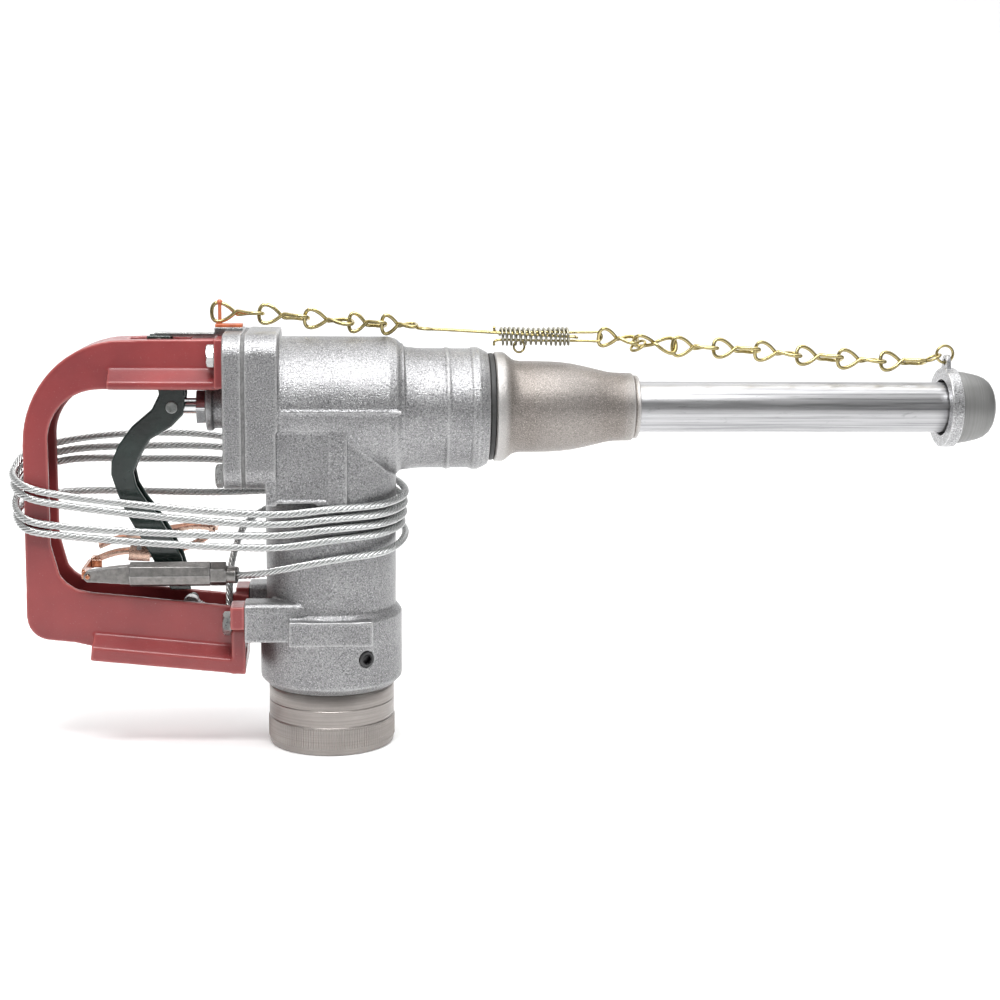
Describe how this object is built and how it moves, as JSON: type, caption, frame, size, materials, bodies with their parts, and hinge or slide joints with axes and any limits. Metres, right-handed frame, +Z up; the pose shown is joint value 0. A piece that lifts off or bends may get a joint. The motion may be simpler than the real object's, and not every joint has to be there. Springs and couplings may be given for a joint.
{
  "type": "overwing fuelling nozzle",
  "caption": "Hand-held fuelling nozzle with guarded trigger lever, long straight spout, chained dust cap, rotating inlet swivel and a bonding cable wound round its guard.",
  "frame": {"origin": "centre of the inlet swivel's bottom face, on the inlet axis", "axes": "+Z up along the inlet and column, +X along the spout towards the dust cap, the hand guard at -X"},
  "size_m": [0.6138, 0.1039, 0.2772],
  "materials": {
    "cast_aluminium": "cast, sand textured",
    "machined_aluminium": "turned satin",
    "warm_casting": "fine cast",
    "tube_aluminium": "drawn, bright",
    "dull_aluminium": "matte turned",
    "red_paint": "semi gloss paint on casting",
    "lever_paint": "gloss black",
    "zinc_steel": "zinc plated",
    "polished_steel": "polished",
    "black_steel": "black oxide",
    "rubber": "matte",
    "packing": "graphited yarn",
    "brass": "bright wire",
    "spring_steel": "dark",
    "orange_paint": "paint",
    "galvanised_cable": "stranded",
    "block_steel": "satin",
    "copper": "copper plate"
  },
  "bodies": {
    "body": {"body_casting": "cast_aluminium", "rear_cap": "cast_aluminium", "cap_gasket": "rubber", "packing_nut": "polished_steel", "stem_packing": "packing", "valve_seat": "brass", "poppet_spring": "zinc_steel", "hand_guard": "red_paint", "fulcrum_link": "zinc_steel", "fulcrum_pin": "polished_steel", "chain_hook": "orange_paint", "spout_gasket": "rubber", "spout_adapter": "warm_casting", "spout_tube": "tube_aluminium", "ball_plug": "black_steel", "swivel_balls": "polished_steel", "swivel_seal": "rubber", "cap_bolts_lower": "zinc_steel", "guard_bolts_upper": "zinc_steel", "guard_bolts_lower": "zinc_steel", "cable_anchor": "zinc_steel", "chain_left": "brass", "drawbar_left": "brass", "drawbar_spring": "spring_steel", "bonding_cable": "galvanised_cable", "cable_ferrule": "tube_aluminium", "clamp_block": "block_steel", "gland_nut": "block_steel", "clip_link": "copper", "clip_lower": "copper", "clip_pin": "zinc_steel", "clip_spring": "zinc_steel"},
    "swivel": {"inlet_swivel": "machined_aluminium", "inlet_strainer": "zinc_steel"},
    "lever": {"lever": "lever_paint", "stem_pin": "polished_steel"},
    "stem": {"stem": "polished_steel", "poppet_disc": "machined_aluminium", "poppet_seal": "rubber", "poppet_nut": "zinc_steel"},
    "dust_cap": {"dust_cap": "dull_aluminium", "cap_ring": "tube_aluminium", "drawbar_right": "brass", "chain_right": "brass"},
    "clip_jaw": {"clip_upper": "copper"}
  },
  "joints": [
    {"name": "inlet_swivel_spin", "type": "hinge", "parent": "body", "child": "swivel", "pos_m": [0, 0, 0], "axis": [0, 0, 1], "continuous": true},
    {"name": "lever_pull", "type": "hinge", "parent": "body", "child": "lever", "pos_m": [-0.103, 0, 0.251], "axis": [0, 1, 0], "range_deg": [0, 12], "stiffness_Nm_per_rad": 3, "springref_deg": -17.19},
    {"name": "stem_slide", "type": "slide", "parent": "body", "child": "stem", "axis": [-1, 0, 0], "range_m": [0, 0.0085], "deforming": ["poppet_spring"]},
    {"name": "dust_cap_pull", "type": "slide", "parent": "body", "child": "dust_cap", "axis": [1, 0, 0], "range_m": [0, 0.018], "stiffness_N_per_m": 400, "springref_m": -0.01, "deforming": ["drawbar_spring"]},
    {"name": "clip_squeeze", "type": "hinge", "parent": "body", "child": "clip_jaw", "pos_m": [-0.12, 0.02, 0.121], "axis": [0, -1, 0], "range_deg": [0, 10], "stiffness_Nm_per_rad": 0.2, "springref_deg": -11.46}
  ],
  "couplings": [
    {"joint": "stem_slide", "follows": "lever_pull", "m_per_rad": 0.039}
  ]
}
